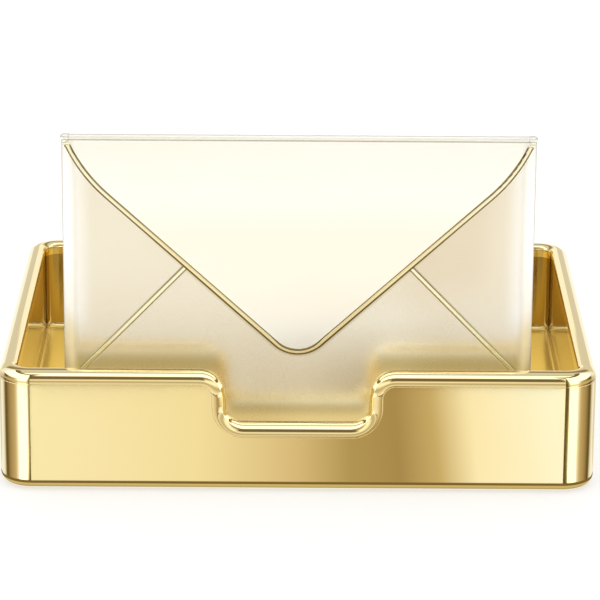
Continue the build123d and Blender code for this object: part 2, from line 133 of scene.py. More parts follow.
def map_range(tree, value, start, end, low=0.0, high=1.0, curve="LINEAR"):
    """value mapped from start..end to low..high, and held at the ends."""
    node = add_node(tree, "ShaderNodeMapRange", value, start, end, low, high, interpolation_type=curve)
    return node.outputs[0]


def ease(tree, value, start, end, low=0.0, high=1.0):
    """value mapped smoothly from start..end to low..high."""
    return map_range(tree, value, start, end, low, high, "SMOOTHSTEP")


def window(tree, value, low, high, edge):
    """1 where value lies between low and high, fading to 0 over the width of an edge."""
    rise = ease(tree, value, low - edge / 2, low + edge / 2)
    fall = ease(tree, value, high - edge / 2, high + edge / 2, 1.0, 0.0)
    return both(tree, rise, fall)


def mix_colour(tree, share, first, second):
    """first where share is 0 and second where it is 1."""
    node = tree.nodes.new("ShaderNodeMix")
    node.data_type = "RGBA"
    # a Mix node's sockets for colours are inputs 6 and 7 and output 2
    for index, source in ((0, share), (6, first), (7, second)):
        feed(tree, node.inputs[index], source)
    return node.outputs[2]


def ramp(tree, value, stops):
    """Panel colour along a table of (value, (red, green, blue)) stops."""
    start, end = stops[0][0], stops[-1][0]
    node = tree.nodes.new("ShaderNodeValToRGB")
    elements = node.color_ramp.elements
    elements.remove(elements[1])
    for index, (stop, colour) in enumerate(stops):
        share = (stop - start) / (end - start)
        element = elements[0] if index == 0 else elements.new(share)
        element.position = share
        element.color = shade(colour)
    tree.links.new(map_range(tree, value, start, end), node.inputs[0])
    return node.outputs[0]


def new_group(name, inputs, outputs):
    """An empty shader group with its named sockets: {name: (kind, default)} in, {name: kind} out."""
    group = bpy.data.node_groups.new(name, "ShaderNodeTree")
    for socket, (kind, default) in inputs.items():
        made = group.interface.new_socket(socket, in_out="INPUT", socket_type=kind)
        made.default_value = default
    for socket, kind in outputs.items():
        group.interface.new_socket(socket, in_out="OUTPUT", socket_type=kind)
    return group, group.nodes.new("NodeGroupInput").outputs, group.nodes.new("NodeGroupOutput").inputs


def place_group(tree, group, **values):
    """Put a group into a tree with its own values; an underscore in a key stands for a space."""
    node = tree.nodes.new("ShaderNodeGroup")
    node.node_tree = group
    for key, value in values.items():
        feed(tree, node.inputs[key.replace("_", " ")], value)
    return node.outputs


# ---------------------------------------------------------------- shared surface effects
FLOAT, COLOUR, VECTOR = "NodeSocketFloat", "NodeSocketColor", "NodeSocketVector"


def build_grain():
    """Fine pearl grain of a plated sheet: a height and a matching change of roughness."""
    group, given, result = new_group(
        "plated_grain",
        {"Place": (VECTOR, (0, 0, 0)), "Size": (FLOAT, 0.6 * MM)},
        {"Height": FLOAT, "Roughness": FLOAT},
    )
    scale = calc(group, "DIVIDE", 1.0, given["Size"])
    noise = add_node(group, "ShaderNodeTexNoise", given["Place"], None, scale, 3.0, 0.6)
    height = calc(group, "SUBTRACT", noise.outputs[0], 0.5)
    group.links.new(height, result["Height"])
    group.links.new(calc(group, "MULTIPLY", height, 0.12), result["Roughness"])
    return group


def build_handling():
    """Marks of use: faint hairlines one way and another, and the haze that hands leave."""
    group, given, result = new_group(
        "handling_marks",
        {"Place": (VECTOR, (0, 0, 0)), "Amount": (FLOAT, 1.0)},
        {"Haze": FLOAT, "Hairline": FLOAT},
    )
    haze = add_node(group, "ShaderNodeTexNoise", given["Place"], None, 26.0, 4.0, 0.55)
    patches = ease(group, haze.outputs[0], 0.42, 0.72)
    one_way, other_way = (
        build_hairlines(group, given["Place"], stretch) for stretch in ((60, 1400, 900), (1200, 90, 1500))
    )
    lines = either(group, one_way, other_way)
    group.links.new(calc(group, "MULTIPLY", patches, given["Amount"]), result["Haze"])
    group.links.new(calc(group, "MULTIPLY", lines, given["Amount"]), result["Hairline"])
    return group


def build_hairlines(group, place, stretch):
    """Thin lines: a noise that is drawn out along one axis, and only its peaks."""
    mapped = add_node(group, "ShaderNodeMapping", place, None, None, stretch)
    noise = add_node(group, "ShaderNodeTexNoise", mapped.outputs[0], None, 1.0, 2.0, 0.5)
    return ease(group, noise.outputs[0], 0.66, 0.74)


def build_tone():
    """A slow drift between two tones of one colour, as plating has from one patch to the next."""
    group, given, result = new_group(
        "plating_tone",
        {
            "Place": (VECTOR, (0, 0, 0)),
            "Light": (COLOUR, rgb(1, 1, 1)),
            "Deep": (COLOUR, rgb(0.5, 0.5, 0.5)),
        },
        {"Colour": COLOUR},
    )
    drift = add_node(group, "ShaderNodeTexNoise", given["Place"], None, 9.0, 3.0, 0.5)
    share = ease(group, drift.outputs[0], 0.35, 0.7)
    group.links.new(mix_colour(group, share, given["Light"], given["Deep"]), result["Colour"])
    return group


def build_flap_line():
    """How far a place lies outside the middle line of the flap's trim: round its tip, and up its sides."""
    group, given, result = new_group("flap_line", {"Place": (VECTOR, (0, 0, 0))}, {"Outside": FLOAT})
    x, _, z = axes(group, given["Place"])
    side = calc(group, "ABSOLUTE", x)
    drop = calc(group, "SUBTRACT", FLAP_TIP_CENTRE, z)
    drop_squared = calc(group, "MULTIPLY", drop, drop)
    round_tip = calc(group, "SQRT", calc(group, "MULTIPLY_ADD", side, side, drop_squared))
    drop_across = calc(group, "MULTIPLY", drop, cos(FLAP_SLOPE))
    straight = calc(group, "MULTIPLY_ADD", side, sin(FLAP_SLOPE), drop_across)
    drop_along = calc(group, "MULTIPLY", drop, sin(FLAP_SLOPE))
    along = calc(group, "SUBTRACT", calc(group, "MULTIPLY", side, cos(FLAP_SLOPE)), drop_along)
    past_tip = calc(group, "GREATER_THAN", along, 0.0)
    reach = map_range(group, past_tip, 0.0, 1.0, round_tip, straight)
    group.links.new(calc(group, "SUBTRACT", reach, FLAP_TIP_RADIUS), result["Outside"])
    return group


def build_trim_painted_shading():
    """Painted shade in dark lines along both sides of a raised trim, each from a tilt on, and a paler colour
    high up.
    """
    group, given, result = new_group(
        "trim_painted_shading",
        {
            "Place": (VECTOR, (0, 0, 0)),
            "Normal": (VECTOR, (0, -1, 0)),
            "Upward": (FLOAT, -1.0),
            "Outer": (FLOAT, 0.05),
            "Inner": (FLOAT, 0.75),
            "Inner High": (FLOAT, 0.42),
            "Inner Middle": (FLOAT, 0.15),
            "Band": (FLOAT, 0.2 * MM),
        },
        {"Share": FLOAT, "High": FLOAT},
    )
    tilt_edge = 0.16
    x, _, z = axes(group, given["Place"])
    turned, _, up = axes(group, given["Normal"])
    # outward is above 0 on the side of the trim that looks away from the middle of the flap
    sideways = calc(group, "MULTIPLY", turned, calc(group, "SIGN", x))
    outward = calc(group, "MULTIPLY_ADD", up, given["Upward"], sideways)
    inward = calc(group, "MULTIPLY", outward, -1.0)
    high = ease(group, z, 120 * MM, 175 * MM)
    from_middle = ease(group, calc(group, "ABSOLUTE", x), 7 * MM, 16 * MM)
    low_start = map_range(group, from_middle, 0.0, 1.0, given["Inner Middle"], given["Inner"])
    inner_start = map_range(group, high, 0.0, 1.0, low_start, given["Inner High"])
    inner_share = ease(group, calc(group, "SUBTRACT", inward, inner_start), 0.0, tilt_edge)
    outer_share = ease(group, calc(group, "SUBTRACT", outward, given["Outer"]), 0.0, tilt_edge)
    # painted shade also on the trim's outer part, past a band beyond the flap's line, below the paler top
    outside = place_group(group, LINE, Place=given["Place"])["Outside"]
    past_band = ease(group, calc(group, "SUBTRACT", outside, given["Band"]), 0.0, 0.5 * MM)
    outer_share = either(group, outer_share, both(group, past_band, opposite(group, high)))
    below_end = ease(group, z, 191.0 * MM, 192.2 * MM, 1.0, 0.0)
    share = both(group, either(group, outer_share, inner_share), below_end)
    group.links.new(share, result["Share"])
    group.links.new(high, result["High"])
    return group


def build_sheet_satin_and_light():
    """Satin on a folded sheet's rolled edges, and painted light and shade: shade in its groove and outline,
    lighter edges, a gold reflection low on its sides, and tones on and beside the flap.
    """
    group, given, result = new_group(
        "sheet_satin_and_painted_light",
        {"Place": (VECTOR, (0, 0, 0)), "Groove": (FLOAT, 1.0), "Side": (FLOAT, 1.0)},
        {
            "Groove": FLOAT,
            "Satin": FLOAT,
            "Painted Edge Light": FLOAT,
            "Painted Gold Reflection": FLOAT,
            "Beside": FLOAT,
            "Pale": FLOAT,
            "Tan": FLOAT,
            "Tip": FLOAT,
        },
    )
    x, y, z = axes(group, given["Place"])
    in_front = ease(group, y, -92 * MM, -90 * MM, 1.0, 0.0)
    low_down = ease(group, z, 75 * MM, 98 * MM, 1.0, 0.0)
    above_groove = calc(group, "DIVIDE", calc(group, "SUBTRACT", z, given["Groove"]), GROOVE_WIDTH)
    past_side = calc(group, "SUBTRACT", calc(group, "ABSOLUTE", x), given["Side"])

    # painted shade in the groove under the rolled top and in a line along the outline
    groove = ease(group, calc(group, "ABSOLUTE", above_groove), 0.3, 1.0, 1.0, 0.0)
    outline = ease(group, past_side, 8.2 * MM, 8.7 * MM)
    rolled_side = ease(group, past_side, 0.0, 5 * MM)
    rolled_top = ease(group, above_groove, 0.3, 1.0)
    # painted light towards the sides, above the low part
    edge_light = ease(group, past_side, -9 * MM, 3 * MM)

    # painted shade beside the flap's trim, a painted light patch right of the middle, a painted shade patch
    # further right, and a band low on the flap for its painted shade
    outside = place_group(group, LINE, Place=given["Place"])["Outside"]
    along_flap = window(group, outside, 0.5 * MM, 2.9 * MM, 2.2 * MM)
    beside = both(group, along_flap, ease(group, z, 120 * MM, 150 * MM, 1.0, 0.0))
    right_of_middle = window(group, x, -8 * MM, 66 * MM, 36 * MM)
    pale = both(group, right_of_middle, ease(group, z, 88 * MM, 112 * MM, 1.0, 0.0))
    towards_right = window(group, x, 58 * MM, 108 * MM, 30 * MM)
    tan = both(group, towards_right, ease(group, z, 90 * MM, 125 * MM))
    tip = window(group, z, 90 * MM, 150 * MM, 30 * MM)

    group.links.new(either(group, groove, outline), result["Groove"])
    group.links.new(either(group, rolled_side, rolled_top), result["Satin"])
    group.links.new(both(group, edge_light, opposite(group, low_down)), result["Painted Edge Light"])
    # the painted gold reflection low on the rolled sides
    group.links.new(both(group, rolled_side, low_down), result["Painted Gold Reflection"])
    group.links.new(both(group, beside, in_front), result["Beside"])
    group.links.new(both(group, pale, in_front), result["Pale"])
    group.links.new(both(group, tan, in_front), result["Tan"])
    group.links.new(tip, result["Tip"])
    return group


def build_tray_painted_light():
    """Painted light and shade inside the tray: brighter on the floor, darker on the two side walls."""
    group, given, result = new_group(
        "tray_painted_light",
        {"Place": (VECTOR, (0, 0, 0)), "Normal": (VECTOR, (0, -1, 0))},
        {"Floor": FLOAT, "Deep": FLOAT},
    )
    x, _, _ = axes(group, given["Place"])
    _, _, up = axes(group, given["Normal"])
    floor = ease(group, up, 0.6, 0.95)
    at_left = ease(group, x, -150 * MM, -110 * MM, 0.6, 0.0)
    at_right = ease(group, x, 90 * MM, 150 * MM)
    group.links.new(floor, result["Floor"])
    group.links.new(both(group, opposite(group, floor), either(group, at_left, at_right)), result["Deep"])
    return group


GRAIN = build_grain()
HANDLING = build_handling()
TONE = build_tone()
LINE = build_flap_line()
TRIM_PAINTED_SHADING = build_trim_painted_shading()
SHEET_SATIN_AND_LIGHT = build_sheet_satin_and_light()
TRAY_PAINTED_LIGHT = build_tray_painted_light()


# ---------------------------------------------------------------- materials
FLOOR_SATIN = 0.22
FOLD_SATIN = 0.38
HAZE_ROUGHNESS = 0.06
HAIRLINE_ROUGHNESS = 0.10


def start_material(name):
    """A material with its shader, and the object coordinates that its pattern reads."""
    material = bpy.data.materials.new(name)
    material.use_nodes = True
    tree = material.node_tree
    shader = tree.nodes["Principled BSDF"]
    place = tree.nodes.new("ShaderNodeTexCoord").outputs["Object"]
    return material, tree, shader, place


def plated_metal(
    name, light, deep, roughness, grain_size, grain_depth, marks, painted_trim_shading=None, painted_sheet_light=None, tray=None
):
    """Plated and polished metal; a trim, a folded sheet and the tray's inside get painted light and shade in
    their colours.
    """
    material, tree, shader, place = start_material(name)
    normal = place.node.outputs["Normal"]
    shader.inputs["Metallic"].default_value = 1.0
    colour = place_group(tree, TONE, Place=place, Light=light, Deep=deep)["Colour"]
    grain = place_group(tree, GRAIN, Place=place, Size=grain_size)
    wear = place_group(tree, HANDLING, Place=place, Amount=marks)
    # painted shade along the sides of a trim, and a paler colour high up on it
    if painted_trim_shading:
        lines = place_group(tree, TRIM_PAINTED_SHADING, Place=place, Normal=normal, **painted_trim_shading["tilts"])
        colour = mix_colour(tree, lines["High"], colour, painted_trim_shading["high"])
        colour = mix_colour(tree, lines["Share"], colour, painted_trim_shading["dark"])
    # painted highlight on the tray's floor and painted shade on its side walls; the floor is also rougher
    if tray:
        inside = place_group(tree, TRAY_PAINTED_LIGHT, Place=place, Normal=normal)
        colour = mix_colour(tree, inside["Floor"], colour, tray["floor"])
        colour = mix_colour(tree, inside["Deep"], colour, tray["deep"])
        roughness = calc(tree, "MULTIPLY_ADD", inside["Floor"], FLOOR_SATIN, roughness)
    # painted light and shade on a folded sheet; its rolled edges are also rougher
    if painted_sheet_light:
        sheet = place_group(tree, SHEET_SATIN_AND_LIGHT, Place=place, Groove=GROOVE_HEIGHT, Side=ROLLED_SIDE)
        for effect in painted_sheet_light:
            colour = mix_colour(tree, sheet[effect], colour, painted_sheet_light[effect])
        roughness = calc(tree, "MULTIPLY_ADD", sheet["Satin"], FOLD_SATIN, roughness)
    tree.links.new(colour, shader.inputs["Base Color"])
    rough = calc(tree, "MULTIPLY_ADD", grain["Roughness"], grain_depth, roughness)
    rough = calc(tree, "MULTIPLY_ADD", wear["Haze"], HAZE_ROUGHNESS, rough)
    rough = calc(tree, "MULTIPLY_ADD", wear["Hairline"], HAIRLINE_ROUGHNESS, rough)
    tree.links.new(rough, shader.inputs["Roughness"])
    add_bump(tree, shader, grain["Height"], 0.02 * MM * grain_depth, strength=0.25)
    return material


def soft_material(name, light, deep, roughness, grain_size, grain_depth):
    """Rubber, felt and powder coat: no metal, and a grain that shows."""
    material, tree, shader, place = start_material(name)
    tone = place_group(tree, TONE, Place=place, Light=light, Deep=deep)
    grain = place_group(tree, GRAIN, Place=place, Size=grain_size)
    tree.links.new(tone["Colour"], shader.inputs["Base Color"])
    tree.links.new(calc(tree, "ADD", roughness, grain["Roughness"]), shader.inputs["Roughness"])
    add_bump(tree, shader, grain["Height"], grain_depth, strength=1.0)
    return material


def add_bump(tree, shader, height, distance, strength):
    """Let a height stand out of the surface by a distance."""
    bump = tree.nodes.new("ShaderNodeBump")
    bump.inputs["Strength"].default_value = strength
    bump.inputs["Distance"].default_value = distance
    tree.links.new(height, bump.inputs["Height"])
    tree.links.new(bump.outputs[0], shader.inputs["Normal"])


polished_gold = plated_metal(
    "polished_gold",
    light=rgb(0.955, 0.80, 0.41),
    deep=rgb(0.945, 0.78, 0.38),
    roughness=0.075,
    grain_size=0.5 * MM,
    grain_depth=1.0,
    marks=0.5,
)
rim_gold = plated_metal(
    "rim_gold",
    light=rgb(0.955, 0.81, 0.44),
    deep=rgb(0.95, 0.79, 0.41),
    roughness=0.06,
    grain_size=0.5 * MM,
    grain_depth=0.3,
    marks=0.4,
)
# the tray's inside: a darker copy of the gold, which is painted shade
mirror_gold = plated_metal(
    "mirror_gold",
    light=rgb(0.67, 0.53, 0.26),
    deep=rgb(0.64, 0.50, 0.24),
    roughness=0.06,
    grain_size=0.5 * MM,
    grain_depth=0.6,
    marks=0.6,
    # a painted highlight on the floor and painted shade on the side walls
    tray={"floor": rgb(0.99, 0.87, 0.42), "deep": rgb(0.46, 0.34, 0.14)},
)
bead_gold = plated_metal(
    "bead_gold",
    light=rgb(0.955, 0.83, 0.50),
    deep=rgb(0.94, 0.80, 0.46),
    roughness=0.26,
    grain_size=0.5 * MM,
    grain_depth=0.3,
    marks=0.4,
    # painted shade along the trim's sides, and a paler colour high up
    painted_trim_shading={"dark": rgb(0.19, 0.145, 0.045), "high": rgb(0.975, 0.92, 0.68), "tilts": {}},
)
# The seams slope the other way from the flap's trim, so upward counts as outward on them, and the painted
# shade on their lower side shows only where it is steepest. The band past the flap's line starts 1 m off:
# they have none.
seam_trim = plated_metal(
    "seam_trim",
    light=rgb(0.95, 0.89, 0.64),
    deep=rgb(0.93, 0.87, 0.61),
    roughness=0.2,
    grain_size=0.5 * MM,
    grain_depth=0.3,
    marks=0.4,
    painted_trim_shading={
        "dark": rgb(0.33, 0.31, 0.14),
        "high": rgb(0.95, 0.89, 0.64),
        "tilts": {
            "Upward": 1.0,
            "Outer": 0.55,
            "Inner": 1.1,
            "Inner_High": 1.1,
            "Inner_Middle": 1.1,
            "Band": 1.0,
        },
    },
)
champagne = plated_metal(
    "champagne",
    light=rgb(0.885, 0.83, 0.68),
    deep=rgb(0.865, 0.80, 0.64),
    roughness=0.28,
    grain_size=0.35 * MM,
    grain_depth=1.2,
    marks=0.15,
    # painted light and shade on the body: a light patch, a darker tan patch, lighter edges, a gold
    # reflection low on the rolled sides, and shade beside the flap's trim and in the groove
    painted_sheet_light={
        "Pale": rgb(0.99, 0.955, 0.83),
        "Tan": rgb(0.815, 0.72, 0.55),
        "Painted Edge Light": rgb(0.99, 0.97, 0.90),
        "Painted Gold Reflection": rgb(1.0, 0.92, 0.66),
        "Beside": rgb(0.70, 0.62, 0.42),
        "Groove": rgb(0.66, 0.65, 0.57),
    },
)
# the flap: a lighter copy of the champagne, which is painted light, with painted shade low on it and in its
# groove
flap_champagne = plated_metal(
    "flap_champagne",
    light=rgb(0.99, 0.985, 0.92),
    deep=rgb(0.985, 0.97, 0.88),
    roughness=0.22,
    grain_size=0.35 * MM,
    grain_depth=1.2,
    marks=0.1,
    painted_sheet_light={"Tip": rgb(0.975, 0.92, 0.79), "Groove": rgb(0.76, 0.76, 0.70)},
)
steel = plated_metal(
    "steel",
    light=rgb(0.62, 0.60, 0.57),
    deep=rgb(0.56, 0.54, 0.52),
    roughness=0.28,
    grain_size=0.3 * MM,
    grain_depth=1.5,
    marks=1.0,
)
base_coat = soft_material(
    "base_coat",
    light=rgb(0.16, 0.14, 0.12),
    deep=rgb(0.13, 0.115, 0.10),
    roughness=0.55,
    grain_size=0.8 * MM,
    grain_depth=0.08 * MM,
)
foot_rubber = soft_material(
    "foot_rubber",
    light=rgb(0.06, 0.06, 0.06),
    deep=rgb(0.045, 0.045, 0.045),
    roughness=0.7,
    grain_size=0.6 * MM,
    grain_depth=0.05 * MM,
)
felt = soft_material(
    "felt",
    light=rgb(0.24, 0.20, 0.15),
    deep=rgb(0.18, 0.15, 0.11),
    roughness=0.95,
    grain_size=0.5 * MM,
    grain_depth=0.3 * MM,
)
finishes = {
    "polished_gold": polished_gold,
    "rim_gold": rim_gold,
    "mirror_gold": mirror_gold,
    "bead_gold": bead_gold,
    "seam_trim": seam_trim,
    "champagne": champagne,
    "flap_champagne": flap_champagne,
    "steel": steel,
    "base_coat": base_coat,
    "foot_rubber": foot_rubber,
    "felt": felt,
}
slot_of = {part["node"]: part["material_slot"] for part in frame["record"]["subparts"]}
for name, node in nodes.items():
    for material_slot in node.material_slots:
        material_slot.material = finishes[slot_of[name]]


# ---------------------------------------------------------------- felt strip on the stand rail
STRIP_LENGTHS = 40
STRIP_PRESS = 0.03


def build_felt_strip():
    """The felt that the envelope stands on: a soft-edged strip, pressed down a little in shallow waves."""
    low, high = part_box("rail_pad")
    size, middle = high - low, (low + high) / 2
    bpy.ops.object.select_all(action="DESELECT")
    bpy.ops.mesh.primitive_cube_add(size=1.0)
    strip = bpy.context.object
    strip.name = "felt_strip"
    bpy.ops.object.mode_set(mode="EDIT")
    bpy.ops.mesh.select_all(action="SELECT")
    bpy.ops.transform.resize(value=size)
    bpy.ops.transform.translate(value=middle)
    bpy.ops.mesh.bevel(offset=0.3 * min(size), segments=3)
    bpy.ops.object.mode_set(mode="OBJECT")
    for cut in range(1, STRIP_LENGTHS):
        cut_strip(strip, low.x + size.x * cut / STRIP_LENGTHS)
    for vertex in strip.data.vertices:
        if vertex.co.z > middle.z:
            along = (vertex.co.x - middle.x) / size.x
            vertex.co.z -= STRIP_PRESS * size.z * (1 + cos(30 * pi * along) * sin(11 * pi * along))
    bpy.ops.object.shade_smooth_by_angle(angle=radians(50))
    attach(strip, "tray")
    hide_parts("rail_pad")
    strip.data.materials.append(finishes["felt"])


def cut_strip(strip, x):
    """One more ring of edges round the strip at x."""
    bpy.ops.object.mode_set(mode="EDIT")
    bpy.ops.mesh.select_all(action="SELECT")
    bpy.ops.mesh.bisect(plane_co=(x, 0, 0), plane_no=(1, 0, 0))
    bpy.ops.object.mode_set(mode="OBJECT")


build_felt_strip()


# ---------------------------------------------------------------- studio
WHITE_TENT = rgb(1.0, 1.0, 1.0)
BRIGHT = (SOFTBOX, SOFTBOX, SOFTBOX)
FLAG = (0.13, 0.10, 0.04)
DESK_WHITE = (1.24, 1.24, 1.24)
ROOM_TAN = (0.52, 0.44, 0.28)
LIP_TAN = (0.66, 0.55, 0.36)
LIP_OLIVE = (0.48, 0.43, 0.26)
FOOT_DARK = (0.20, 0.15, 0.06)
TO_DEGREES = 180 / pi


def start_panel(piece, name):
    """Name a panel and give it an emission material: its tree, emission node and object coordinates."""
    piece.name = name
    material = bpy.data.materials.new(name)
    material.use_nodes = True
    tree = material.node_tree
    tree.nodes.clear()
    glow = add_node(tree, "ShaderNodeEmission", None, SOFTBOX)
    output = tree.nodes.new("ShaderNodeOutputMaterial")
    tree.links.new(glow.outputs[0], output.inputs[0])
    material.cycles.emission_sampling = "NONE"
    piece.data.materials.append(material)
    return tree, glow, tree.nodes.new("ShaderNodeTexCoord").outputs["Object"]


def finish_panel(piece, tree, glow, colour):
    """Colour a panel: metal mirrors it, and neither the camera nor the shadows see it."""
    tree.links.new(colour, glow.inputs["Color"])
    piece.visible_camera = False
    piece.visible_diffuse = False
    piece.visible_transmission = False
    piece.visible_shadow = False
    piece.visible_volume_scatter = False


# Panels across the studio. Pitch is 0 at the horizon in front, 90 overhead, 180 behind.
pitch_colours = (
    (-180, (1.00, 0.97, 0.88)),
    (-165, DESK_WHITE),
    (-15, DESK_WHITE),
    (-12, (0.88, 0.80, 0.68)),
    (-6, (0.88, 0.80, 0.68)),
    (-3, (0.56, 0.50, 0.38)),
    (8, (0.56, 0.50, 0.38)),
    (12, (1.00, 0.94, 0.86)),
    (19, (1.00, 0.94, 0.86)),
    (23, (0.66, 0.60, 0.50)),
    (28, (0.18, 0.14, 0.09)),
    (47, (0.18, 0.14, 0.10)),
    (53, (0.66, 0.64, 0.70)),
    (58, BRIGHT),
    (77, BRIGHT),
    (82, (0.78, 0.82, 0.95)),
    (95, (0.56, 0.58, 0.68)),
    (107, (0.83, 0.86, 1.00)),
    (118, (0.66, 0.65, 0.66)),
    (128, (0.30, 0.24, 0.14)),
    (140, (0.30, 0.24, 0.14)),
    (149, (0.75, 0.72, 0.70)),
    (170, (0.75, 0.72, 0.70)),
    (175, (1.00, 0.97, 0.88)),
    (180, (1.00, 0.97, 0.88)),
)
# Colours at the two sides of the studio by height, in degrees
side_colours = (
    (-6, (0.66, 0.60, 0.48)),
    (6, (0.60, 0.53, 0.40)),
    (12, (0.98, 0.95, 0.86)),
    (20, (1.25, 1.22, 1.15)),
    (30, (1.05, 1.00, 0.90)),
    (36, (0.50, 0.42, 0.28)),
    (50, (0.40, 0.33, 0.20)),
    (60, (0.78, 0.75, 0.68)),
)


def build_studio_dome():
    """A dome of panels and flags round the desk, which only polished metal reflects."""
    bpy.ops.mesh.primitive_uv_sphere_add(segments=48, ring_count=24, radius=6.0)
    dome = bpy.context.object
    tree, glow, place = start_panel(dome, "studio_dome")
    unit = add_node(tree, "ShaderNodeVectorMath", place, operation="NORMALIZE").outputs[0]
    across, away, up = axes(tree, unit)
    ahead = calc(tree, "MULTIPLY", away, -1.0)
    pitch = calc(tree, "MULTIPLY", calc(tree, "ARCTAN2", up, ahead), TO_DEGREES)
    height = calc(tree, "MULTIPLY", calc(tree, "ARCSINE", up), TO_DEGREES)
    reach = calc(tree, "ABSOLUTE", calc(tree, "MULTIPLY", calc(tree, "ARCSINE", across), TO_DEGREES))
    turn = calc(tree, "ABSOLUTE", calc(tree, "MULTIPLY", calc(tree, "ARCTAN2", across, ahead), TO_DEGREES))
    aside = both(tree, ease(tree, reach, 7, 16), window(tree, pitch, -6, 55, 4))
    aside = both(tree, aside, ease(tree, turn, 118, 135, 1.0, 0.0))
    colour = mix_colour(tree, aside, ramp(tree, pitch, pitch_colours), ramp(tree, height, side_colours))
    # the far side of the room, which only the tray's sides and back mirror
    room = both(tree, ease(tree, turn, 62, 100), window(tree, height, -34, -6, 12))
    colour = mix_colour(tree, calc(tree, "MULTIPLY", room, 0.6), colour, shade(ROOM_TAN))
    finish_panel(dome, tree, glow, colour)


# Curved screens round the tray's two front corners, in mm. Turn is 0 in front and 90 at the side.
CORNER_RADIUS = 18.0
SCREEN_RADIUS = 80.0
SCREEN_HEIGHT = 255.0
SCREEN_START, SCREEN_END = 4.0, 126.0
UNDER_TRAY = 6.0
JUST_ABOVE_DESK = 0.1
turn_colours = (
    (0, (1.03, 1.01, 0.97)),
    (5, (1.03, 1.01, 0.97)),
    (6, FLAG),
    (13, FLAG),
    (15, (0.42, 0.38, 0.24)),
    (17, (0.90, 0.90, 0.88)),
    (19, BRIGHT),
    (46, BRIGHT),
    (50, (1.00, 1.07, 1.36)),
    (54, (0.90, 0.89, 0.96)),
    (58, (0.75, 0.67, 0.61)),
    (62, (0.60, 0.50, 0.37)),
    (70, (0.52, 0.42, 0.27)),
    (84, (0.40, 0.31, 0.20)),
    (95, (0.26, 0.19, 0.10)),
    (102, (0.14, 0.10, 0.04)),
    (109, (0.15, 0.11, 0.05)),
    (114, (0.37, 0.34, 0.27)),
    (120, (0.73, 0.74, 0.83)),
    (128, (0.94, 0.97, 1.20)),
    (137, (1.00, 1.06, 1.40)),
    (180, (1.00, 0.97, 0.88)),
)


def build_corner_screen(side):
    """One screen: a strip of desk round the corner and the wall that stands at its rim."""
    bpy.ops.mesh.primitive_grid_add(x_subdivisions=32, y_subdivisions=16, size=1.0)
    screen = bpy.context.object
    axis = Vector((side * (half_tray - CORNER_RADIUS * MM), front_y + CORNER_RADIUS * MM, 0))
    start = CORNER_RADIUS - UNDER_TRAY
    for vertex in screen.data.vertices:
        angle = radians(SCREEN_START + (vertex.co.x + 0.5) * (SCREEN_END - SCREEN_START))
        rise = vertex.co.y + 0.5
        radius = start + (SCREEN_RADIUS - start) * min(1.0, 4 * rise)
        height = JUST_ABOVE_DESK + (SCREEN_HEIGHT - JUST_ABOVE_DESK) * max(0.0, rise - 0.25) / 0.75
        outward = Vector((side * sin(angle) * radius, -cos(angle) * radius, height))
        vertex.co = axis + outward * MM
    tree, glow, place = start_panel(screen, "corner_screen_left" if side < 0 else "corner_screen_right")
    across, away, up = axes(tree, place)
    out = calc(tree, "MULTIPLY", calc(tree, "SUBTRACT", across, axis.x), side / MM)
    ahead = calc(tree, "MULTIPLY", calc(tree, "SUBTRACT", away, axis.y), -1 / MM)
    squares = calc(tree, "ADD", calc(tree, "POWER", out, 2.0), calc(tree, "POWER", ahead, 2.0))
    reach = calc(tree, "SQRT", squares)
    height = calc(tree, "DIVIDE", up, MM)
    # a ray leaves the round corner at twice the angle of the place that it leaves
    spread = calc(tree, "DIVIDE", CORNER_RADIUS, calc(tree, "MULTIPLY_ADD", reach, 2.0, -CORNER_RADIUS))
    angle = calc(tree, "MULTIPLY", calc(tree, "ARCTAN2", out, ahead), TO_DEGREES)
    turn = calc(tree, "MULTIPLY_ADD", angle, spread, angle)
    turn = calc(tree, "SUBTRACT", turn, 2.0 * side)
    colour = ramp(tree, turn, turn_colours)
    # the strip of desk, by its distance from the corner's axis
    foot = ease(tree, reach, 27, 30, 1.0, 0.0)
    colour = mix_colour(tree, foot, colour, shade(FOOT_DARK))
    edge = ease(tree, reach, 19.8, 20.6, 1.0, 0.0)
    colour = mix_colour(tree, edge, colour, shade(LIP_TAN))
    under = ease(tree, reach, 15.5, 17.0, 1.0, 0.0)
    colour = mix_colour(tree, under, colour, shade(LIP_OLIVE))
    # the wall, by its height
    seam = calc(tree, "MULTIPLY", window(tree, height, 41, 49, 3), 0.7)
    colour = mix_colour(tree, seam, colour, shade(FLAG))
    horizon = calc(tree, "MULTIPLY", window(tree, height, 51, 67, 3), 0.75)
    horizon = both(tree, horizon, ease(tree, turn, 14, 18))
    colour = mix_colour(tree, horizon, colour, shade((0.62, 0.55, 0.42)))
    lamp = both(tree, window(tree, height, 88, 182, 8), window(tree, turn, 17, 124, 4))
    colour = mix_colour(tree, lamp, colour, shade(BRIGHT))
    above = ease(tree, height, 180, 186)
    colour = mix_colour(tree, above, colour, shade((0.20, 0.16, 0.09)))
    finish_panel(screen, tree, glow, colour)


# Panel low in front of the tray that its flat front face mirrors: colours from left to right, in mm
FRONT_PANEL_NEAR = -6.0
FRONT_PANEL_FAR = 198.0
front_panel_colours = (
    (-165, (1.00, 1.02, 1.00)),
    (-110, (0.99, 0.97, 0.95)),
    (-58, (0.95, 0.91, 0.81)),
    (0, (0.72, 0.61, 0.46)),
    (30, (0.47, 0.38, 0.22)),
    (58, (0.42, 0.32, 0.18)),
    (80, (0.62, 0.51, 0.33)),
    (102, (1.04, 1.03, 1.07)),
    (165, (1.08, 1.23, 1.70)),
)


